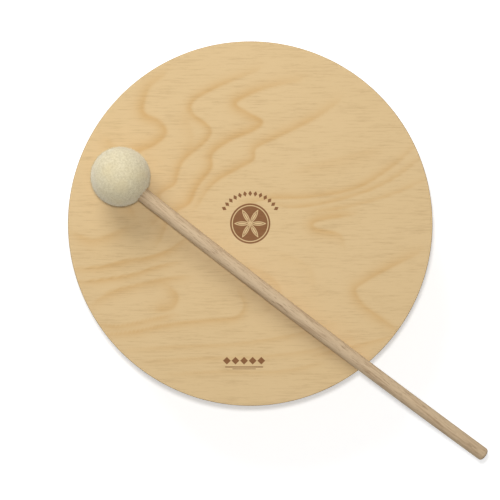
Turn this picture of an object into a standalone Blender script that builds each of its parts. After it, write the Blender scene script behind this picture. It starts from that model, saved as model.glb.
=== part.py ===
"""A wooden tom-tom with its felt-headed mallet, modelled piece by piece.

The drum is a plywood head of three birch veneers, glued on a shell of three bent plies that is
open underneath. The mallet lies across it: a turned stick in a bored core, with a felt cover
gathered round the core. Metres, +Z up, origin at the centre of the playing face.
"""

import math

import bmesh
import bpy
from mathutils import Matrix, Vector

# Clearances
glue_line = 0.0003  # between two glued layers, and in a scarf joint
seat_gap = 0.0003  # stick in core, felt round core, mallet on drum

# Head board
head_diameter = 0.250
veneer_thickness = 0.0012
head_edge_radius = 0.0005  # rounding of the playing face's edge

# Shell
shell_depth = 0.060
shell_inset = 0.001  # from the head's edge in to the outside of the shell
shell_ply_thickness = 0.0018
rim_rounding = 0.0010  # on the outer and the inner edge of the open rim
scarf_slope = 8.0  # run along a ply for each unit of its thickness
scarf_stagger = math.radians(118)  # turn from one ply's scarf to the next one's
first_scarf = math.radians(205)  # where the outer ply's scarf lies, from +X

# Mallet
core_diameter = 0.028
core_floor = 0.008  # wood left behind the bore
felt_thickness = 0.0057
stick_reach = 0.314  # from the ball's centre to the stick's tip
stick_diameter = 0.0099  # at the ball
tip_diameter = 0.0093
tip_rounding = 0.0022
stick_end_chamfer = 0.0006  # on the end inside the core
stick_bend = math.radians(2.7)  # the stick is slightly bowed, all along its length
pleat_count = 14
pleat_depth = 0.0009
pleat_spread = math.radians(62)  # the pleats fade out at this angle from the neck

# Where the mallet lies
ball_to_edge = 0.0322  # from the ball's centre out to the head's edge
ball_direction = math.radians(160.3)  # of the ball as seen from the drum's axis
stick_yaw = math.radians(-38.8)  # the way the stick leaves the ball

# Fineness of round shapes
drum_steps = 144
core_steps = 32
stick_steps = 28
steps_per_pleat = 5
edge_arc_steps = 3
core_arc_steps = 12
lining_arc_steps = 10
cover_arc_steps = 21
tip_arc_steps = 5
stick_rings = 20
scarf_sections = 8
crease_angle = math.radians(40)  # edges sharper than this stay crisp
weld_distance = 0.00001
cut_margin = 0.0003  # how far a cutter runs past the faces it cuts

# Worked out from the above
head_radius = head_diameter / 2
veneer_pitch = veneer_thickness + glue_line
ply_pitch = shell_ply_thickness + glue_line
shell_top = -2 * veneer_pitch - veneer_thickness - glue_line
shell_radius = head_radius - shell_inset
core_radius = core_diameter / 2
felt_inner_radius = core_radius + seat_gap
ball_radius = felt_inner_radius + felt_thickness
bore_radius = stick_diameter / 2 + seat_gap
bore_floor = -core_radius + core_floor
face_edge = min(head_edge_radius, 0.8 * veneer_thickness)
rim_edge = min(rim_rounding, 0.8 * shell_ply_thickness)
tip_edge = min(tip_rounding, 0.9 * tip_diameter / 2)


def clear_scene():
    for thing in list(bpy.data.objects):
        bpy.data.objects.remove(thing, do_unlink=True)


def make_collection(name):
    group = bpy.data.collections.new(name)
    bpy.context.scene.collection.children.link(group)
    return group


def wood(name, colour, roughness=0.55):
    """A plain wooden surface in one colour."""
    material = bpy.data.materials.new(name)
    material.use_nodes = True
    shader = material.node_tree.nodes["Principled BSDF"]
    shader.inputs["Base Color"].default_value = (*colour, 1)
    shader.inputs["Roughness"].default_value = roughness
    shader.inputs["Metallic"].default_value = 0
    return material


def felt(name, colour):
    """Wool felt, which scatters light at its surface."""
    material = wood(name, colour, roughness=0.95)
    shader = material.node_tree.nodes["Principled BSDF"]
    shader.inputs["Sheen Weight"].default_value = 0.4
    return material


def arc(centre_x, centre_z, radius, start, end, steps):
    """Points on an arc of a profile, angles counted from +X towards +Z."""
    turns = [start + (end - start) * k / steps for k in range(steps + 1)]
    return [(centre_x + radius * math.cos(a), centre_z + radius * math.sin(a)) for a in turns]


def plain_mesh(thing, name):
    """A new mesh of an object as its modifiers leave it."""
    graph = bpy.context.evaluated_depsgraph_get()
    mesh = bpy.data.meshes.new_from_object(thing.evaluated_get(graph))
    mesh.name = name
    return mesh


def turned(name, profile, steps, closed, group):
    """A profile of (radius, height) points spun round Z, smooth except at its corners."""
    outline = bpy.data.meshes.new(name + "_profile")
    links = [(k, k + 1) for k in range(len(profile) - 1)]
    if closed:
        links.append((len(profile) - 1, 0))
    outline.from_pydata([(x, 0, z) for x, z in profile], links, [])
    blank = bpy.data.objects.new(name + "_blank", outline)
    group.objects.link(blank)
    screw = blank.modifiers.new("turn", "SCREW")
    screw.axis = "Z"
    screw.angle = math.tau
    screw.steps = steps
    screw.render_steps = steps
    screw.use_merge_vertices = True
    screw.merge_threshold = weld_distance
    mesh = plain_mesh(blank, name)
    bpy.data.objects.remove(blank, do_unlink=True)
    mesh.shade_smooth()
    mesh.set_sharp_from_angle(angle=crease_angle)
    piece = bpy.data.objects.new(name, mesh)
    group.objects.link(piece)
    return piece


def head_veneer(name, layer, material, group):
    """One veneer of the head board, layer 0 being the playing face with its rounded edge."""
    top = -layer * veneer_pitch
    bottom = top - veneer_thickness
    edge = [(head_radius, top)]
    if layer == 0:
        inner = head_radius - face_edge
        edge = arc(inner, top - face_edge, face_edge, math.pi / 2, 0, edge_arc_steps)
    profile = [(0, top), *edge, (head_radius, bottom), (0, bottom)]
    piece = turned(name, profile, drum_steps, False, group)
    piece.data.materials.append(material)
    return piece


def scarf_cutter(name, middle_radius, direction, group):
    """The thin slanted slice that parts a ply where its two scarfed ends meet.

    The ends are planed flat at scarf_slope and then bent with the ply, so the slice climbs
    evenly from the ply's inside to its outside along the bend.
    """
    run = scarf_slope * shell_ply_thickness / middle_radius
    half_width = glue_line * math.hypot(1, scarf_slope) / (2 * middle_radius)
    reach = 1 + 2 * cut_margin / shell_ply_thickness
    sides = ([], [])
    for k in range(scarf_sections + 1):
        share = reach * (2 * k / scarf_sections - 1)
        radius = middle_radius + share * shell_ply_thickness / 2
        turn = direction + share * run / 2
        for side, offset in zip(sides, (half_width, -half_width)):
            side.append((radius * math.cos(turn + offset), radius * math.sin(turn + offset)))
    outline = sides[0] + sides[1][::-1]
    curve = bpy.data.curves.new(name, "CURVE")
    curve.dimensions = "2D"
    curve.fill_mode = "BOTH"
    curve.extrude = shell_depth / 2 + cut_margin
    spline = curve.splines.new("POLY")
    spline.points.add(len(outline) - 1)
    for point, (x, y) in zip(spline.points, outline):
        point.co = (x, y, 0, 1)
    spline.use_cyclic_u = True
    slice_curve = bpy.data.objects.new(name + "_curve", curve)
    slice_curve.location.z = shell_top - shell_depth / 2
    group.objects.link(slice_curve)
    bpy.context.view_layer.update()
    mesh = plain_mesh(slice_curve, name)
    weld = bmesh.new()
    weld.from_mesh(mesh)
    bmesh.ops.remove_doubles(weld, verts=weld.verts, dist=weld_distance)
    bmesh.ops.recalc_face_normals(weld, faces=weld.faces)
    weld.to_mesh(mesh)
    weld.free()
    cutter = bpy.data.objects.new(name, mesh)
    cutter.matrix_world = slice_curve.matrix_world.copy()
    group.objects.link(cutter)
    bpy.data.objects.remove(slice_curve, do_unlink=True)
    cutter.hide_render = True
    cutter.display_type = "WIRE"
    return cutter


def shell_ply(name, layer, material, group, cutters):
    """One bent ply of the shell, layer 0 outermost, open at its scarf joint.

    The rim's outer and inner edges are rounded, so the middle ply keeps its square corners.
    """
    outer = shell_radius - layer * ply_pitch
    inner = outer - shell_ply_thickness
    bottom = shell_top - shell_depth
    down, inwards = -math.pi / 2, -math.pi
    profile = [(outer, shell_top)]
    if layer == 0:
        profile += arc(outer - rim_edge, bottom + rim_edge, rim_edge, 0, down, edge_arc_steps)
    else:
        profile.append((outer, bottom))
    if layer == 2:
        profile += arc(inner + rim_edge, bottom + rim_edge, rim_edge, down, inwards, edge_arc_steps)
    else:
        profile.append((inner, bottom))
    profile.append((inner, shell_top))
    piece = turned(name, profile, drum_steps, True, group)
    piece.data.materials.append(material)
    direction = first_scarf + layer * scarf_stagger
    cut = piece.modifiers.new("scarf", "BOOLEAN")
    cut.operation = "DIFFERENCE"
    cut.solver = "EXACT"
    cut.object = scarf_cutter(name + "_scarf", (outer + inner) / 2, direction, cutters)
    return piece


def stick_radius_at(distance):
    """The stick tapers evenly from the ball's centre to its tip."""
    share = min(max(distance / stick_reach, 0), 1)
    return (stick_diameter + (tip_diameter - stick_diameter) * share) / 2


def mallet_core(material, group):
    """A ball with a blind bore for the stick, its mouth towards +Z."""
    mouth = math.acos(bore_radius / core_radius)
    profile = [(0, bore_floor), (bore_radius, bore_floor)]
    profile += arc(0, 0, core_radius, mouth, -math.pi / 2, core_arc_steps)
    profile[-1] = (0, -core_radius)
    piece = turned("mallet_core", profile, core_steps, False, group)
    piece.data.materials.append(material)
    return piece


def mallet_felt_cover(material, group):
    """Felt drawn round the core and gathered at the neck, with the stick's hole through it."""
    inner_lip = math.acos(bore_radius / felt_inner_radius)
    outer_lip = math.acos(bore_radius / ball_radius)
    lining = arc(0, 0, felt_inner_radius, -math.pi / 2, inner_lip, lining_arc_steps)
    outside = arc(0, 0, ball_radius, outer_lip, -math.pi / 2, cover_arc_steps)
    lining[0] = (0, -felt_inner_radius)
    outside[-1] = (0, -ball_radius)
    steps = pleat_count * steps_per_pleat
    piece = turned("mallet_felt_cover", lining + outside, steps, False, group)
    piece.data.materials.append(material)
    skin = (felt_inner_radius + ball_radius) / 2
    for vertex in piece.data.vertices:
        if vertex.co.length > skin:
            vertex.co.z -= pleat_at(vertex.co)
    return piece


def pleat_at(point):
    """How far a pleat sinks the felt's outside at this point, along the stick."""
    from_neck = math.atan2(math.hypot(point.x, point.y), point.z)
    if from_neck >= pleat_spread:
        return 0
    fade = math.cos(from_neck / pleat_spread * math.pi / 2) ** 2
    fold = 0.5 + 0.5 * math.cos(pleat_count * math.atan2(point.y, point.x))
    return pleat_depth * fade * fold


def mallet_stick(material, group):
    """A dowel along +Z from inside the core out to its rounded tip, bowed towards +X."""
    end = bore_floor + seat_gap
    shoulder = stick_reach - tip_edge
    tip_radius = stick_radius_at(stick_reach)
    seat_radius = stick_radius_at(0)
    profile = [(0, stick_reach)]
    profile += arc(tip_radius - tip_edge, shoulder, tip_edge, math.pi / 2, 0, tip_arc_steps)
    for k in range(1, stick_rings):
        height = shoulder * (1 - k / stick_rings)
        profile.append((stick_radius_at(height), height))
    profile.append((seat_radius, end + stick_end_chamfer))
    profile.append((seat_radius - stick_end_chamfer, end))
    profile.append((0, end))
    piece = turned("mallet_stick", profile, stick_steps, False, group)
    piece.data.materials.append(material)
    bow = piece.modifiers.new("bow", "SIMPLE_DEFORM")
    bow.deform_method = "BEND"
    bow.deform_axis = "Y"
    bow.angle = stick_bend
    return piece


def resting_place():
    """Where the mallet lies: its ball on the playing face, its stick on the head's edge.

    The mallet's own +Z is the stick's direction at the ball, and its +X is level, so that
    the stick's bow lies flat.
    """
    from_axis = head_radius - ball_to_edge
    ball = Vector((math.cos(ball_direction), math.sin(ball_direction), 0)) * from_axis
    ball.z = ball_radius + seat_gap
    chord_yaw = stick_yaw + stick_bend / 3
    along = Vector((math.cos(chord_yaw), math.sin(chord_yaw), 0))
    support = head_radius - face_edge
    inward = -along.dot(ball)
    to_rim = inward + math.sqrt(inward**2 - from_axis**2 + support**2)
    to_support = min(to_rim, stick_reach - tip_edge)
    clear = stick_radius_at(to_support) + seat_gap
    pitch = math.atan2(ball.z, to_support) - math.asin(clear / math.hypot(ball.z, to_support))
    level = Vector((-math.sin(stick_yaw), math.cos(stick_yaw), 0))
    ahead = Vector((math.cos(stick_yaw), math.sin(stick_yaw), 0)) * math.cos(pitch)
    ahead.z = -math.sin(pitch)
    turn = Matrix((level, ahead.cross(level), ahead)).transposed().to_4x4()
    return Matrix.Translation(ball) @ turn


def build():
    clear_scene()
    group = make_collection("wooden_tom_tom")
    cutters = make_collection("cutters")

    face = wood("birch_face", (0.70, 0.53, 0.30))
    core_birch = wood("birch_core", (0.60, 0.43, 0.24))
    back = wood("birch_back", (0.68, 0.51, 0.29))
    head_veneer("head_face_veneer", 0, face, group)
    head_veneer("head_core_veneer", 1, core_birch, group)
    head_veneer("head_back_veneer", 2, back, group)

    outer = wood("birch_shell_outside", (0.69, 0.51, 0.29))
    middle = wood("birch_shell_core", (0.58, 0.41, 0.23))
    inner = wood("birch_shell_inside", (0.66, 0.49, 0.28))
    shell_ply("shell_outer_ply", 0, outer, group, cutters)
    shell_ply("shell_core_ply", 1, middle, group, cutters)
    shell_ply("shell_inner_ply", 2, inner, group, cutters)

    mallet = bpy.data.objects.new("mallet", None)
    group.objects.link(mallet)
    mallet.matrix_world = resting_place()
    stick = mallet_stick(wood("beech_stick", (0.56, 0.40, 0.26), 0.5), group)
    core = mallet_core(wood("beech_core", (0.55, 0.38, 0.22), 0.6), group)
    cover = mallet_felt_cover(felt("wool_felt", (0.70, 0.62, 0.44)), group)
    for piece in (stick, core, cover):
        piece.parent = mallet
    bpy.context.view_layer.update()


build()
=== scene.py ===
import math

import bmesh
import bpy
import numpy as np
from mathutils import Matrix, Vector


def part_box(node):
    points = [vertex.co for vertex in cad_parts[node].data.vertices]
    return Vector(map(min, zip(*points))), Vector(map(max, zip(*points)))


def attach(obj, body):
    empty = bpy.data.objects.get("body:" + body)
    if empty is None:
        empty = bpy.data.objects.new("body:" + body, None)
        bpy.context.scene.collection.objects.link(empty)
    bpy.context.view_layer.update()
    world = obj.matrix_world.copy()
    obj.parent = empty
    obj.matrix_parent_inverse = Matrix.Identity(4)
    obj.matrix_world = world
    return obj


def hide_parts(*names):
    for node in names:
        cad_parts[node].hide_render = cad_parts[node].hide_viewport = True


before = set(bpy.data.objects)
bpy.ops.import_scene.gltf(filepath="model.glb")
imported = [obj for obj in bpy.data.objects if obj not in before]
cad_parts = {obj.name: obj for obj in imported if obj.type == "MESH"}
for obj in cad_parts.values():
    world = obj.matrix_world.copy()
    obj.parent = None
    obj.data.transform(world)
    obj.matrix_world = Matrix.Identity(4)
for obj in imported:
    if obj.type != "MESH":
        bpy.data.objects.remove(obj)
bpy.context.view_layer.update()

# The studio. The drum stands on its open rim on a white table, and the camera looks straight
# down on the playing face, as in the photograph. A small lamp nearly overhead gives the tight
# shadows, and a wide one beyond the upper left models the felt ball.
scene = bpy.context.scene
scene.view_settings.view_transform = "Standard"

camera_height = 1.2
view_width = 0.3427
disc_off_centre_x = 0.00014
disc_off_centre_y = 0.01812
camera_data = bpy.data.cameras.new("camera")
camera_data.sensor_fit = "HORIZONTAL"
camera_data.angle = 2 * math.atan(view_width / 2 / camera_height)
camera = bpy.data.objects.new("camera", camera_data)
camera.location = (-disc_off_centre_x, -disc_off_centre_y, camera_height)
scene.collection.objects.link(camera)
scene.camera = camera


def add_lamp(name, size, power, distance, tilt, direction):
    """A round lamp that looks at the drum from so many degrees off vertical, towards direction."""
    data = bpy.data.lights.new(name, "AREA")
    data.shape = "DISK"
    data.size = size
    data.energy = power
    lamp = bpy.data.objects.new(name, data)
    sideways = math.sin(math.radians(tilt))
    turn = math.radians(direction)
    out = Vector((math.cos(turn) * sideways, math.sin(turn) * sideways, math.cos(math.radians(tilt))))
    lamp.location = out * distance
    lamp.rotation_euler = out.to_track_quat("Z", "Y").to_euler()
    scene.collection.objects.link(lamp)


add_lamp("overhead_lamp", size=0.055, power=5.1, distance=1.07, tilt=1.35, direction=97)
add_lamp("window_lamp", size=0.8, power=9.6, distance=1.3, tilt=52, direction=115)


def seen_directly(tree):
    """1 for what the camera, a mirror or glass sees, and 0 for what only lights the object."""
    path = tree.nodes.new("ShaderNodeLightPath")
    seen = path.outputs["Is Camera Ray"]
    for ray in ("Is Glossy Ray", "Is Transmission Ray"):
        either = tree.nodes.new("ShaderNodeMath")
        either.operation = "MAXIMUM"
        tree.links.new(seen, either.inputs[0])
        tree.links.new(path.outputs[ray], either.inputs[1])
        seen = either.outputs[0]
    return seen


world = bpy.data.worlds.new("studio")
scene.world = world
world.use_nodes = True
world_nodes = world.node_tree.nodes
world_links = world.node_tree.links
ambient_level = 0.24
background = world_nodes["Background"]
background.inputs["Color"].default_value = (1, 1, 1, 1)
level = world_nodes.new("ShaderNodeMapRange")
level.inputs["To Min"].default_value = ambient_level
level.inputs["To Max"].default_value = 1
world_links.new(seen_directly(world.node_tree), level.inputs["Value"])
world_links.new(level.outputs["Result"], background.inputs["Strength"])

floor_clearance = 0.0001
floor_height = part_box("shell_outer_ply")[0].z - floor_clearance
floor_half = 4.0
floor_mesh = bpy.data.meshes.new("floor")
low, high = -floor_half, floor_half
corners = [(low, low), (high, low), (high, high), (low, high)]
floor_mesh.from_pydata([(x, y, floor_height) for x, y in corners], [], [(0, 1, 2, 3)])
floor = bpy.data.objects.new("floor", floor_mesh)
scene.collection.objects.link(floor)
floor_glow = 0.42
paper = bpy.data.materials.new("white_table")
paper.use_nodes = True
paper_nodes = paper.node_tree.nodes
paper_links = paper.node_tree.links
paper_shader = paper_nodes["Principled BSDF"]
paper_white = 0.93
paper_shader.inputs["Base Color"].default_value = (paper_white, paper_white, paper_white, 1)
paper_shader.inputs["Roughness"].default_value = 1
paper_shader.inputs["Specular IOR Level"].default_value = 0
paper_shader.inputs["Emission Color"].default_value = (1, 1, 1, 1)
glow = paper_nodes.new("ShaderNodeMath")
glow.operation = "MULTIPLY"
glow.inputs[1].default_value = floor_glow
paper_links.new(seen_directly(paper.node_tree), glow.inputs[0])
paper_links.new(glow.outputs[0], paper_shader.inputs["Emission Strength"])
floor_mesh.materials.append(paper)

# The playing face: one rotary-cut birch veneer, 250 mm across, its edge sanded round. The
# knife peels the log round its rings, so the year rings spread into soft flowing bands. Their
# courses were drawn, and the mesh carries them as the attribute figure.
head_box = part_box("head_face_veneer")
head_radius = head_box[1].x
face_top = head_box[1].z
face_bottom = head_box[0].z
edge_round = 0.0005


def turned_mesh(name, profile, steps):
    """A closed mesh of (radius, height) points, from the axis out and back, spun round Z."""
    mesh = bpy.data.meshes.new(name)
    turn = np.linspace(0, math.tau, steps, endpoint=False)
    ring = np.stack([np.cos(turn), np.sin(turn)], axis=1)
    points = [(0, 0, profile[0][1])]
    for radius, height in profile[1:-1]:
        points += [(radius * c, radius * s, height) for c, s in ring]
    points.append((0, 0, profile[-1][1]))
    last = len(points) - 1
    faces = []
    rows = len(profile) - 2
    for k in range(steps):
        n = (k + 1) % steps
        faces.append((0, 1 + k, 1 + n))
        for row in range(rows - 1):
            a = 1 + row * steps
            faces.append((a + k, a + steps + k, a + steps + n, a + n))
        a = 1 + (rows - 1) * steps
        faces.append((a + n, a + k, last))
    mesh.from_pydata(points, [], faces)
    mesh.shade_smooth()
    mesh.set_sharp_from_angle(angle=math.radians(50))
    return mesh


def show(name, mesh, body, slot, *nodes):
    """Puts a finished mesh in the scene, riding on its body in place of its CAD node."""
    piece = bpy.data.objects.new(name, mesh)
    scene.collection.objects.link(piece)
    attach(piece, body)
    if nodes:
        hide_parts(*nodes)
    return piece


face_rings = 110
face_steps = 420
edge_facets = 4
inner = head_radius - edge_round
profile = [(inner * k / face_rings, face_top) for k in range(face_rings + 1)]
for k in range(1, edge_facets + 1):
    turn = math.pi / 2 * (1 - k / edge_facets)
    outward, down = math.cos(turn), 1 - math.sin(turn)
    profile.append((inner + edge_round * outward, face_top - edge_round * down))
bottom_ring = head_radius * 0.6
profile += [(head_radius, face_bottom), (bottom_ring, face_bottom), (0, face_bottom)]
face_mesh = turned_mesh("playing_face", profile, face_steps)

# the course of each band in millimetres from the drum's axis, with its width and its strength
bands = [
    ([(-60, 101), (-68, 95), (-72, 87), (-73, 76), (-62, 70), (-58, 62), (-66, 54), (-82, 46),
      (-79, 35), (-80, 27), (-86, 18), (-80, 8)], 5.5, 1.0),
    ([(5, 105), (-10, 99), (-26, 92), (-39, 84), (-40, 76), (-31, 69), (-27, 63), (-32, 55),
      (-46, 43), (-50, 33), (-52, 27), (-62, 20), (-60, 10), (-66, 0)], 4.0, 0.9),
    ([(34, 98), (14, 94), (-2, 88), (-10, 82), (-2, 76), (8, 70), (2, 64), (-14, 57), (-26, 48),
      (-27, 38), (-36, 26), (-42, 14), (-54, 6), (-62, -12)], 5.0, 1.0),
    ([(60, 83), (44, 72), (20, 60), (4, 52), (2, 44), (-8, 38), (-22, 30), (-30, 22),
      (-36, 12)], 4.5, 0.9),
    ([(112, 52), (96, 38), (72, 24), (40, 18), (12, 17), (-6, 12)], 3.6, 0.8),
    ([(116, 44), (100, 32), (80, 22), (52, 14), (28, 11), (14, 14)], 3.0, 0.7),
    ([(120, 30), (98, 20), (70, 12), (44, 8)], 2.6, 0.5),
    ([(70, 6), (46, 2), (44, -3), (60, -7), (64, -12)], 5.0, 0.8),
    ([(116, -20), (96, -30), (78, -40), (72, -46), (78, -56), (92, -66), (106, -76)], 5.0, 0.8),
    ([(-122, -6), (-108, -11), (-92, -6), (-84, -2)], 6.0, 0.6),
    ([(-120, -31), (-100, -29), (-84, -25), (-70, -23), (-56, -18), (-44, -10)], 4.0, 0.9),
    ([(-118, -40), (-100, -38), (-82, -35), (-66, -30), (-50, -26)], 3.4, 0.9),
    ([(-108, -55), (-96, -47), (-78, -42), (-60, -38), (-44, -36)], 4.5, 0.8),
    ([(-56, -43), (-50, -50), (-54, -58), (-66, -60)], 7.0, 0.7),
    ([(-104, -69), (-90, -70), (-70, -66), (-52, -62)], 4.0, 0.7),
    ([(-100, -76), (-80, -74), (-56, -69), (-30, -66), (-10, -64), (-4, -56), (-8, -48)], 3.6, 0.8),
    ([(-84, -86), (-50, -84), (-10, -82), (30, -76), (58, -68)], 3.0, 0.45),
    ([(-70, -94), (-34, -92), (0, -91), (40, -87), (70, -78)], 3.0, 0.4),
    ([(-56, -103), (-20, -101), (20, -101), (50, -95)], 3.0, 0.4),
    ([(44, -90), (70, -84), (98, -77)], 3.4, 0.5),
    ([(-46, 76), (-40, 60), (-44, 46)], 9.0, 0.25),
    ([(-100, 60), (-92, 48), (-98, 34)], 8.0, 0.35),
    ([(30, 36), (60, 44), (90, 52)], 9.0, 0.25),
    ([(-10, -28), (10, -34), (20, -46), (12, -60)], 7.0, 0.35),
    ([(20, -20), (40, -30), (44, -44)], 8.0, 0.2),
]


def smooth_course(points, step=1.0):
    """Points about a millimetre apart on a smooth curve through the given ones."""
    p = np.array([points[0], *points, points[-1]], float)
    out = []
    for k in range(1, len(p) - 2):
        count = max(2, int(np.linalg.norm(p[k + 1] - p[k]) / step))
        for t in np.arange(count) / count:
            a = 2 * p[k]
            b = p[k + 1] - p[k - 1]
            c = 2 * p[k - 1] - 5 * p[k] + 4 * p[k + 1] - p[k + 2]
            d = 3 * p[k] - p[k - 1] - 3 * p[k + 1] + p[k + 2]
            out.append((a + b * t + c * t**2 + d * t**3) / 2)
    out.append(p[-1])
    return np.array(out)


crisp_side = 0.2
faded_side = 0.85
deepest = 1.35


def band_figure(x, y):
    """How deep the birch's bands are at points in millimetres, from 0 to about 1.

    A band is a ring's late wood: it ends in a fairly crisp line on the side that lies left
    of its course and fades slowly on the other side.
    """
    total = np.zeros(len(x))
    for points, width, strength in bands:
        line = smooth_course(points)
        nearest = np.full(len(x), 1e9)
        side = np.zeros(len(x))
        along = np.zeros(len(x))
        for k in range(len(line) - 1):
            a, b = line[k], line[k + 1]
            ab = b - a
            share = np.clip(((x - a[0]) * ab[0] + (y - a[1]) * ab[1]) / (ab @ ab), 0, 1)
            dx, dy = x - a[0] - share * ab[0], y - a[1] - share * ab[1]
            gap = np.hypot(dx, dy)
            closer = gap < nearest
            nearest = np.where(closer, gap, nearest)
            side = np.where(closer, ab[0] * dy - ab[1] * dx, side)
            along = np.where(closer, (k + share) / (len(line) - 1), along)
        reach = np.where(side > 0, crisp_side * width, faded_side * width)
        ends = np.clip(np.minimum(along, 1 - along) * 5, 0, 1)
        total += strength * (0.35 + 0.65 * ends) * np.exp(-((nearest / reach) ** 1.5))
    return np.clip(total, 0, deepest)


places = np.zeros(len(face_mesh.vertices) * 3, np.float32)
face_mesh.vertices.foreach_get("co", places)
places = (places.reshape(-1, 3) * 1000).astype(float)
figure = face_mesh.attributes.new("figure", "FLOAT", "POINT")
depths = band_figure(places[:, 0], places[:, 1])
figure.data.foreach_set("value", depths.astype(np.float32))


class Sums:
    """Short names for the maths nodes of one material or group."""

    def __init__(self, tree):
        self.tree = tree

    def node(self, kind, **settings):
        made = self.tree.nodes.new(kind)
        for key, value in settings.items():
            setattr(made, key, value)
        return made

    def put(self, socket, value):
        if isinstance(value, bpy.types.NodeSocket):
            self.tree.links.new(value, socket)
        elif value is not None:
            socket.default_value = value

    def math(self, operation, a, b=None):
        made = self.node("ShaderNodeMath", operation=operation)
        for socket, value in zip(made.inputs, (a, b)):
            self.put(socket, value)
        return made.outputs[0]

    def step(self, value, low, high):
        """0 below low, 1 above high, smooth between."""
        made = self.node("ShaderNodeMapRange", interpolation_type="SMOOTHSTEP")
        self.put(made.inputs["Value"], value)
        self.put(made.inputs["From Min"], low)
        self.put(made.inputs["From Max"], high)
        return made.outputs["Result"]

    def mix(self, share, a, b):
        """Colour a, with so large a share of colour b."""
        made = self.node("ShaderNodeMix", data_type="RGBA")
        self.put(made.inputs["Factor"], share)
        self.put(made.inputs["A"], a if isinstance(a, bpy.types.NodeSocket) else (*a, 1))
        self.put(made.inputs["B"], b if isinstance(b, bpy.types.NodeSocket) else (*b, 1))
        return made.outputs["Result"]

    def noise(self, vector, scale, detail, rough):
        made = self.node("ShaderNodeTexNoise")
        self.put(made.inputs["Vector"], vector)
        self.put(made.inputs["Scale"], scale)
        self.put(made.inputs["Detail"], detail)
        self.put(made.inputs["Roughness"], rough)
        return made.outputs["Fac"]

    def stretched(self, vector, scale, turn=(0, 0, 0)):
        """The place turned and then scaled, so that a noise on it has long or short cells."""
        made = self.node("ShaderNodeMapping")
        self.put(made.inputs["Vector"], vector)
        self.put(made.inputs["Rotation"], turn)
        self.put(made.inputs["Scale"], scale)
        return made.outputs[0]

    def from_axis(self, vector):
        """Distance from the drum's axis."""
        split = self.node("ShaderNodeSeparateXYZ")
        self.put(split.inputs[0], vector)
        x, y = split.outputs["X"], split.outputs["Y"]
        squares = self.math("ADD", self.math("MULTIPLY", x, x), self.math("MULTIPLY", y, y))
        return self.math("SQRT", squares)

    def group(self, tree, **values):
        made = self.node("ShaderNodeGroup", node_tree=tree)
        for key, value in values.items():
            self.put(made.inputs[key.replace("_", " ")], value)
        return made


def wood_grain_group():
    """Straight wood grain along X: pores, fine fibres and slow cloudiness, as a tint and a height."""
    tree = bpy.data.node_groups.new("wood_grain", "ShaderNodeTree")
    face = tree.interface
    face.new_socket("Along Grain", in_out="INPUT", socket_type="NodeSocketVector")
    for name, start in (("Pore Depth", 0.2), ("Fibre Depth", 0.1), ("Cloud Depth", 0.1)):
        face.new_socket(name, in_out="INPUT", socket_type="NodeSocketFloat").default_value = start
    face.new_socket("Tint", in_out="OUTPUT", socket_type="NodeSocketFloat")
    face.new_socket("Height", in_out="OUTPUT", socket_type="NodeSocketFloat")
    s = Sums(tree)
    inlet = s.node("NodeGroupInput")
    outlet = s.node("NodeGroupOutput")
    where = inlet.outputs["Along Grain"]
    dashes = s.noise(s.stretched(where, (150, 1500, 1500)), 1.0, 2.0, 0.5)
    pores = s.step(dashes, 0.57, 0.68)
    fibre = s.noise(s.stretched(where, (48, 800, 800)), 1.0, 4.0, 0.75)
    cloud = s.noise(s.stretched(where, (28, 110, 110)), 1.0, 4.0, 0.6)
    tint = s.math("MULTIPLY", pores, inlet.outputs["Pore Depth"])
    for pattern, depth in ((fibre, "Fibre Depth"), (cloud, "Cloud Depth")):
        swing = s.math("SUBTRACT", pattern, 0.5)
        tint = s.math("ADD", tint, s.math("MULTIPLY", swing, inlet.outputs[depth]))
    s.put(outlet.inputs["Tint"], tint)
    s.put(outlet.inputs["Height"], s.math("SUBTRACT", s.math("MULTIPLY", fibre, 0.4), pores))
    return tree


wood_grain = wood_grain_group()


def new_material(name, roughness, specular):
    """A material, its Principled shader and the short names for its nodes."""
    material = bpy.data.materials.new(name)
    material.use_nodes = True
    shader = material.node_tree.nodes["Principled BSDF"]
    shader.inputs["Roughness"].default_value = roughness
    shader.inputs["Specular IOR Level"].default_value = specular
    return material, shader, Sums(material.node_tree)


def raise_grain(s, shader, height, strength, distance):
    """Gives the surface a fine relief from a height pattern."""
    bump = s.node("ShaderNodeBump")
    bump.inputs["Strength"].default_value = strength
    bump.inputs["Distance"].default_value = distance
    s.put(bump.inputs["Height"], height)
    s.put(shader.inputs["Normal"], bump.outputs["Normal"])


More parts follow.
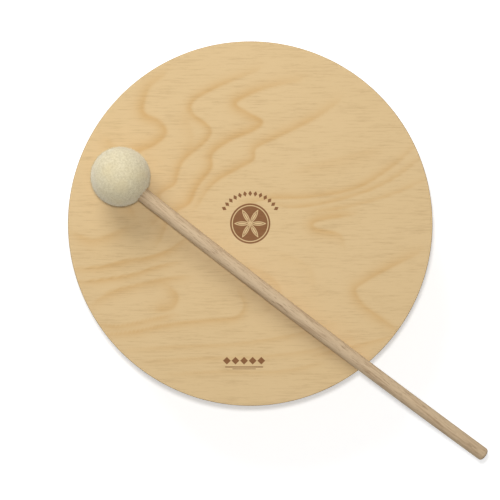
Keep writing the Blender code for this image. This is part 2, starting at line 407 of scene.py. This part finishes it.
# The marks burnt into the face by laser: a six-petal compass flower in a double ring at the
# centre, an arch of small lozenges over it, and a row of lozenges with a rule near the lower
# edge. They are plain geometric ornaments.
def burnt_marks_group():
    """Where the face is burnt, as a mask from 0 to 1, worked out in millimetres."""
    tree = bpy.data.node_groups.new("burnt_marks", "ShaderNodeTree")
    tree.interface.new_socket("Place", in_out="INPUT", socket_type="NodeSocketVector")
    tree.interface.new_socket("Mask", in_out="OUTPUT", socket_type="NodeSocketFloat")
    s = Sums(tree)
    inlet = s.node("NodeGroupInput")
    outlet = s.node("NodeGroupOutput")
    in_millimetres = s.stretched(inlet.outputs["Place"], (1000, 1000, 1000))
    split = s.node("ShaderNodeSeparateXYZ")
    s.put(split.inputs[0], in_millimetres)
    x, y = split.outputs["X"], split.outputs["Y"]
    soft = 0.14
    radius = s.from_axis(in_millimetres)
    angle = s.math("ARCTAN2", y, x)

    def within(distance, half):
        """A stripe of that half width where distance is 0."""
        return s.step(s.math("SUBTRACT", half, s.math("ABSOLUTE", distance)), -soft, soft)

    def folded(value, period):
        """Distance from the nearest multiple of period, with its sign."""
        shifted = s.math("ADD", value, period / 2)
        return s.math("SUBTRACT", s.math("FLOORED_MODULO", shifted, period), period / 2)

    flower_radius = 11.0
    turn = s.math("ABSOLUTE", folded(angle, math.tau / 6))
    px = s.math("MULTIPLY", radius, s.math("COSINE", turn))
    py = s.math("MULTIPLY", radius, s.math("SINE", turn))
    dx = s.math("SUBTRACT", px, flower_radius / 2)
    dy = s.math("ADD", py, flower_radius * math.sqrt(3) / 2)
    reach = s.math("SQRT", s.math("ADD", s.math("MULTIPLY", dx, dx), s.math("MULTIPLY", dy, dy)))
    inside = s.math("SUBTRACT", flower_radius, reach)
    petals = s.step(inside, -soft, soft)
    veins = s.math("MULTIPLY", within(s.math("SUBTRACT", inside, 0.75), 0.17), petals)
    left_light = s.math("SUBTRACT", petals, veins)
    left_light = s.math("MAXIMUM", left_light, within(s.math("SUBTRACT", radius, 12.3), 0.33))
    disc = s.step(s.math("SUBTRACT", 13.8, radius), -soft, soft)
    marks = s.math("SUBTRACT", disc, s.math("MULTIPLY", left_light, disc))

    def lozenge(u, v, half_u, half_v):
        across_share = s.math("DIVIDE", s.math("ABSOLUTE", u), half_u)
        up_share = s.math("DIVIDE", s.math("ABSOLUTE", v), half_v)
        far = s.math("ADD", across_share, up_share)
        return s.step(s.math("SUBTRACT", 1, far), -soft / half_u, soft / half_u)

    arch_radius = 20.6
    arch_step = math.radians(10)
    from_top = s.math("SUBTRACT", angle, math.pi / 2)
    across = s.math("MULTIPLY", folded(from_top, arch_step), arch_radius)
    arch = lozenge(across, s.math("SUBTRACT", radius, arch_radius), 1.35, 1.9)
    near_top = s.math("LESS_THAN", s.math("ABSOLUTE", from_top), arch_step * 6.5)
    marks = s.math("MAXIMUM", marks, s.math("MULTIPLY", arch, near_top))

    row_x, row_y, row_step = -4.2, -94.0, 5.9
    u = s.math("SUBTRACT", x, row_x)
    v = s.math("SUBTRACT", y, row_y)
    row = lozenge(folded(u, row_step), v, 2.7, 2.6)
    row_half = s.math("LESS_THAN", s.math("ABSOLUTE", u), row_step * 2.5)
    marks = s.math("MAXIMUM", marks, s.math("MULTIPLY", row, row_half))
    for drop, half_length, half_width in ((4.3, 13.0, 0.33), (5.6, 8.0, 0.22)):
        rule = s.math("MULTIPLY", within(s.math("ADD", v, drop), half_width), within(u, half_length))
        marks = s.math("MAXIMUM", marks, rule)
    s.put(outlet.inputs["Mask"], marks)
    return tree


birch_light = (0.685, 0.497, 0.262)
birch_band = (0.605, 0.378, 0.15)
birch_dark = (0.30, 0.17, 0.06)
birch_pale = (0.80, 0.60, 0.36)
burn_dark = (0.155, 0.052, 0.014)
burn_light = (0.24, 0.095, 0.03)
# dark brown for cut edges: toast from the cut, and on the face's rounded rim also painted shade
toast_and_rim_shade_colour = (0.27, 0.175, 0.085)

face_wood, shader, s = new_material("birch_playing_face", 0.6, 0.14)
where = s.node("ShaderNodeTexCoord").outputs["Object"]
ripple = s.noise(s.stretched(where, (60, 110, 60)), 1.0, 3.0, 0.6)
bands_here = s.node("ShaderNodeAttribute", attribute_name="figure").outputs["Fac"]
depth = s.math("MULTIPLY", bands_here, s.math("ADD", 0.62, s.math("MULTIPLY", ripple, 0.62)))
grain = s.group(wood_grain, Along_Grain=where, Pore_Depth=0.10, Fibre_Depth=1.1, Cloud_Depth=0.45)
colour = s.mix(s.math("MULTIPLY", depth, 0.95), birch_light, birch_band)
colour = s.mix(grain.outputs["Tint"], colour, birch_dark)
warm = s.noise(s.stretched(where, (9, 16, 9)), 1.0, 2.0, 0.5)
paler = s.mix(0.10, colour, birch_pale)
colour = s.mix(s.step(warm, 0.35, 0.75), colour, paler)
marks = s.group(burnt_marks_group(), Place=where).outputs["Mask"]
scorch = s.noise(s.stretched(where, (400, 900, 400)), 1.0, 2.0, 0.5)
burn = s.mix(scorch, burn_dark, burn_light)
colour = s.mix(s.math("MULTIPLY", marks, 0.93), colour, burn)
# The sanded round rim is painted dark brown all round: partly toast from the cut, partly painted shade
# that stands in for the rounding's shadow.
rim_toast_and_shade = s.step(s.from_axis(where), head_radius - 0.9 * edge_round, head_radius - 0.2 * edge_round)
colour = s.mix(s.math("MULTIPLY", rim_toast_and_shade, 0.9), colour, toast_and_rim_shade_colour)
s.put(shader.inputs["Base Color"], colour)
duller = s.math("MULTIPLY", grain.outputs["Tint"], 0.3)
s.put(shader.inputs["Roughness"], s.math("ADD", 0.58, duller))
sunk = s.math("SUBTRACT", grain.outputs["Height"], s.math("MULTIPLY", marks, 2))
raise_grain(s, shader, sunk, 0.35, 0.00006)
face_mesh.materials.append(face_wood)
show("playing_face_veneer", face_mesh, "drum", "birch_face", "head_face_veneer")


# The rest of the head board: the cross-laid middle veneer and the back veneer, which shows
# inside the drum. The saw or laser that cut the disc left its edge toasted.
def smooth_copy(node):
    """A CAD node's own mesh with its loose triangles joined and its round faces smooth."""
    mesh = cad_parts[node].data.copy()
    work = bmesh.new()
    work.from_mesh(mesh)
    bmesh.ops.remove_doubles(work, verts=work.verts, dist=0.000004)
    work.to_mesh(mesh)
    work.free()
    if "custom_normal" in mesh.attributes:
        mesh.attributes.remove(mesh.attributes["custom_normal"])
    mesh.materials.clear()
    mesh.shade_smooth()
    mesh.set_sharp_from_angle(angle=math.radians(35))
    return mesh


def plain_wood(name, colour, dark, stretch_turn, pores, roughness, edge_from=None):
    """Wood whose grain runs along X once turned, darker where the cut edge was toasted."""
    material, shader, s = new_material(name, roughness, 0.15)
    where = s.node("ShaderNodeTexCoord").outputs["Object"]
    turned = s.stretched(where, (1, 1, 1), stretch_turn)
    grain = s.group(wood_grain, Along_Grain=turned, Pore_Depth=pores, Fibre_Depth=0.28, Cloud_Depth=0.22)
    rings = s.noise(s.stretched(turned, (5, 120, 120)), 1.0, 3.0, 0.6)
    tinted = s.mix(s.math("MULTIPLY", s.step(rings, 0.42, 0.7), 0.3), colour, dark)
    tinted = s.mix(grain.outputs["Tint"], tinted, dark)
    if edge_from:
        toasted = s.step(s.from_axis(where), edge_from - 0.0001, edge_from)
        tinted = s.mix(s.math("MULTIPLY", toasted, 0.75), tinted, toast_and_rim_shade_colour)
    s.put(shader.inputs["Base Color"], tinted)
    raise_grain(s, shader, grain.outputs["Height"], 0.4, 0.00008)
    return material


quarter = math.pi / 2
upright = (0, quarter, 0)
edge_from = head_radius - 0.0002
for node, slot, colour, turn in (
    ("head_core_veneer", "birch_core", (0.50, 0.34, 0.17), (0, 0, quarter)),
    ("head_back_veneer", "birch_back", (0.62, 0.44, 0.22), (0, 0, 0)),
):
    mesh = smooth_copy(node)
    mesh.materials.append(plain_wood(node, colour, birch_dark, turn, 0.2, 0.55, edge_from))
    show(node + "_shown", mesh, "drum", slot, node)

# The shell: three birch plies bent round a mould and glued, the outer and inner ones with
# upright grain and the middle one, which shows only at the rim, with its grain lying flat.
# Each ply closes in its own scarf joint, a fine line where the glued slope comes out.
for node, slot, colour, turn in (
    ("shell_outer_ply", "shell_outside", (0.63, 0.45, 0.23), upright),
    ("shell_core_ply", "shell_core", (0.50, 0.34, 0.17), (0, 0, 0)),
    ("shell_inner_ply", "shell_inside", (0.60, 0.43, 0.22), upright),
):
    mesh = smooth_copy(node)
    mesh.materials.append(plain_wood(node, colour, birch_dark, turn, 0.22, 0.48))
    show(node + "_shown", mesh, "drum", slot, node)

# The mallet's stick: a straight-grained beech dowel, sanded and left bare. Its pores are short
# dark dashes, with a few longer streaks towards the grip. The core is the same beech, turned.
stick_turn = (0, 0, math.radians(37.5))
beech = (0.62, 0.465, 0.295)
beech_dark = (0.23, 0.13, 0.07)
beech_streak = (0.40, 0.26, 0.15)
stick_wood, shader, s = new_material("bare_beech", 0.65, 0.15)
where = s.node("ShaderNodeTexCoord").outputs["Object"]
along = s.stretched(where, (1, 1, 1), stick_turn)
grain = s.group(wood_grain, Along_Grain=along, Pore_Depth=0.42, Fibre_Depth=1.9, Cloud_Depth=0.3)
streak = s.noise(s.stretched(along, (10, 520, 520)), 1.0, 3.0, 0.6)
colour = s.mix(s.math("MULTIPLY", s.step(streak, 0.5, 0.68), 0.55), beech, beech_streak)
colour = s.mix(grain.outputs["Tint"], colour, beech_dark)
s.put(shader.inputs["Base Color"], colour)
raise_grain(s, shader, grain.outputs["Height"], 0.5, 0.00012)
for node in ("mallet_stick", "mallet_core"):
    mesh = smooth_copy(node)
    mesh.materials.append(stick_wood)
    show(node + "_shown", mesh, "mallet", "mallet_wood", node)

# The felt cover: wool felt drawn over the core and gathered at the neck. The skin is the felt
# itself, lumpy at the scale of its fibres, and a loose nap of short fibres stands on it.
felt_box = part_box("mallet_felt_cover")
ball = (felt_box[0] + felt_box[1]) / 2
ball_radius = (felt_box[1] - felt_box[0]).z / 2
felt_mesh = smooth_copy("mallet_felt_cover")
felt_piece = bpy.data.objects.new("felt_work", felt_mesh)
scene.collection.objects.link(felt_piece)
finer = felt_piece.modifiers.new("finer", "SUBSURF")
finer.levels = 1
finer.render_levels = 1
bpy.context.view_layer.update()
refined = felt_piece.evaluated_get(bpy.context.evaluated_depsgraph_get())
felt_skin = bpy.data.meshes.new_from_object(refined)
felt_skin.name = "felt_skin"
bpy.data.objects.remove(felt_piece, do_unlink=True)
felt_skin.shade_smooth()

felt_shaded = (0.60, 0.52, 0.33)
felt_bright = (0.79, 0.72, 0.525)
felt_warm = (0.72, 0.61, 0.36)
felt, shader, s = new_material("wool_felt", 0.95, 0.15)
where = s.node("ShaderNodeTexCoord").outputs["Object"]
tuft = s.noise(where, 650, 5.0, 0.85)
patch = s.noise(where, 70, 3.0, 0.5)
colour = s.mix(s.step(tuft, 0.34, 0.66), felt_shaded, felt_bright)
colour = s.mix(s.math("MULTIPLY", s.step(patch, 0.4, 0.7), 0.4), colour, felt_warm)
s.put(shader.inputs["Base Color"], colour)
shader.inputs["Sheen Weight"].default_value = 0.55
shader.inputs["Sheen Roughness"].default_value = 0.5
raise_grain(s, shader, tuft, 0.6, 0.0004)
felt_skin.materials.append(felt)
felt_cover = show("felt_cover", felt_skin, "mallet", "mallet_felt", "mallet_felt_cover")


outside_from = 0.9
most_lean = 1.25


def nap_tree():
    """Geometry Nodes that stand short slanting fibres on the felt's outside."""
    tree = bpy.data.node_groups.new("felt_nap", "GeometryNodeTree")
    face = tree.interface
    face.new_socket("Geometry", in_out="INPUT", socket_type="NodeSocketGeometry")
    for name in ("Fibres per Square Metre", "Fibre Length", "Fibre Radius", "Tip Radius"):
        face.new_socket(name, in_out="INPUT", socket_type="NodeSocketFloat")
    face.new_socket("Material", in_out="INPUT", socket_type="NodeSocketMaterial")
    face.new_socket("Geometry", in_out="OUTPUT", socket_type="NodeSocketGeometry")
    nodes, links = tree.nodes, tree.links
    inlet, outlet = nodes.new("NodeGroupInput"), nodes.new("NodeGroupOutput")
    place = nodes.new("GeometryNodeInputPosition")
    gap = nodes.new("ShaderNodeVectorMath")
    gap.operation = "DISTANCE"
    gap.inputs[1].default_value = ball
    links.new(place.outputs[0], gap.inputs[0])
    outer = nodes.new("FunctionNodeCompare")
    outer.operation = "GREATER_THAN"
    outer.inputs["B"].default_value = ball_radius * outside_from
    links.new(gap.outputs["Value"], outer.inputs["A"])
    spread = nodes.new("GeometryNodeDistributePointsOnFaces")
    spread.inputs["Seed"].default_value = 4
    links.new(inlet.outputs["Geometry"], spread.inputs["Mesh"])
    links.new(outer.outputs["Result"], spread.inputs["Selection"])
    links.new(inlet.outputs["Fibres per Square Metre"], spread.inputs["Density"])
    fibre = nodes.new("GeometryNodeMeshCone")
    fibre.inputs["Vertices"].default_value = 3
    links.new(inlet.outputs["Tip Radius"], fibre.inputs["Radius Top"])
    links.new(inlet.outputs["Fibre Radius"], fibre.inputs["Radius Bottom"])
    links.new(inlet.outputs["Fibre Length"], fibre.inputs["Depth"])
    lean = nodes.new("FunctionNodeRandomValue")
    lean.data_type = "FLOAT_VECTOR"
    lean.inputs["Min"].default_value = (-most_lean, -most_lean, -3.14)
    lean.inputs["Max"].default_value = (most_lean, most_lean, 3.14)
    lean.inputs["Seed"].default_value = 9
    tip = nodes.new("FunctionNodeRotateRotation")
    tip.rotation_space = "LOCAL"
    links.new(spread.outputs["Rotation"], tip.inputs["Rotation"])
    links.new(lean.outputs["Value"], tip.inputs["Rotate By"])
    size = nodes.new("FunctionNodeRandomValue")
    size.data_type = "FLOAT"
    size.inputs["Min"].default_value = 0.5
    size.inputs["Max"].default_value = 1.2
    size.inputs["Seed"].default_value = 2
    stand = nodes.new("GeometryNodeInstanceOnPoints")
    links.new(spread.outputs["Points"], stand.inputs["Points"])
    links.new(fibre.outputs["Mesh"], stand.inputs["Instance"])
    links.new(tip.outputs["Rotation"], stand.inputs["Rotation"])
    links.new(size.outputs[1], stand.inputs["Scale"])
    real = nodes.new("GeometryNodeRealizeInstances")
    links.new(stand.outputs["Instances"], real.inputs["Geometry"])
    dress = nodes.new("GeometryNodeSetMaterial")
    links.new(real.outputs["Geometry"], dress.inputs["Geometry"])
    links.new(inlet.outputs["Material"], dress.inputs["Material"])
    links.new(dress.outputs["Geometry"], outlet.inputs["Geometry"])
    return tree


nap_seat = bpy.data.objects.new("nap_seat", felt_skin.copy())
scene.collection.objects.link(nap_seat)
grow = nap_seat.modifiers.new("nap", "NODES")
grow.node_group = nap_tree()
nap_sizes = {
    "Fibres per Square Metre": 2400000.0,
    "Fibre Length": 0.0011,
    "Fibre Radius": 0.00005,
    "Tip Radius": 0.000015,
    "Material": felt,
}
for item in grow.node_group.interface.items_tree:
    if item.in_out == "INPUT" and item.name in nap_sizes:
        grow[item.identifier] = nap_sizes[item.name]
bpy.context.view_layer.update()
grown = nap_seat.evaluated_get(bpy.context.evaluated_depsgraph_get())
nap_mesh = bpy.data.meshes.new_from_object(grown)
nap_mesh.name = "felt_nap"
bpy.data.objects.remove(nap_seat, do_unlink=True)
show("felt_nap", nap_mesh, "mallet", "mallet_felt")
